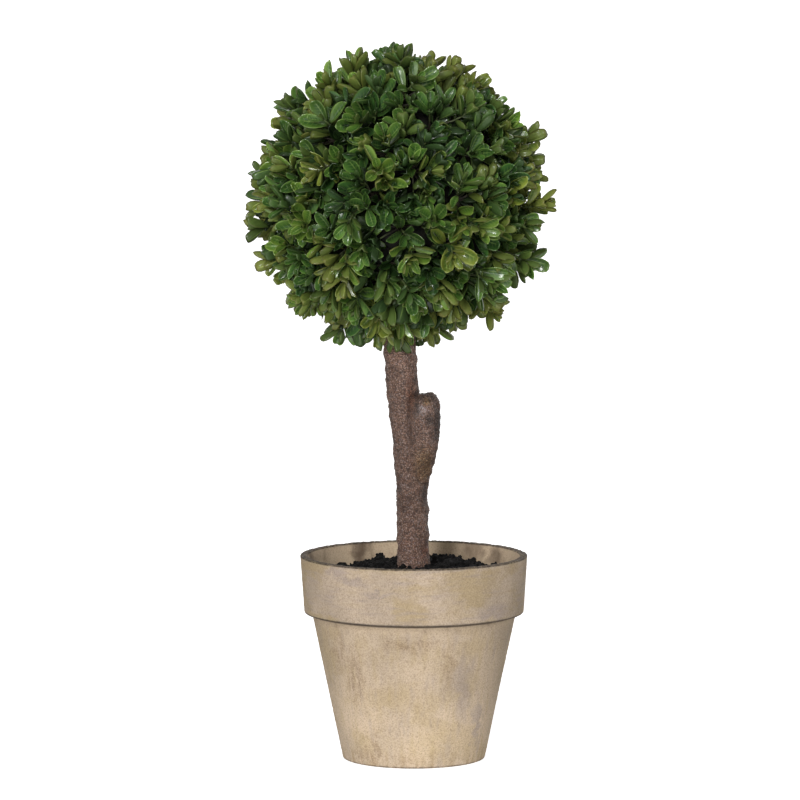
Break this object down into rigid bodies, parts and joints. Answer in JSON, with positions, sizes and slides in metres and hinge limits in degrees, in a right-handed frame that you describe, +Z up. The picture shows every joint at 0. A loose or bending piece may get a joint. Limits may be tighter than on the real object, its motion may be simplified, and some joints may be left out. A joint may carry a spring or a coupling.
{
  "type": "artificial boxwood ball topiary in a clay pot",
  "caption": "Clipped ball of artificial boxwood on a leaning bark-textured stem with a pruned side stub, in an aged clay pot filled with dark compost.",
  "frame": {"origin": "the middle of the pot's flat underside", "axes": "+Z up along the pot's axis, +X to the plant's right, -Y to its front, the side with the pruned stub"},
  "size_m": [0.2287, 0.2277, 0.5138],
  "materials": {
    "aged_clay": "matte",
    "compost": "matte",
    "bark": "matte",
    "stub_bark": "matte",
    "foliage": "satin"
  },
  "bodies": {
    "root": {"pot": "aged_clay", "compost_fill": "compost", "trunk": "bark", "pruned_stub": "stub_bark", "foliage_ball": "foliage"}
  },
  "joints": []
}
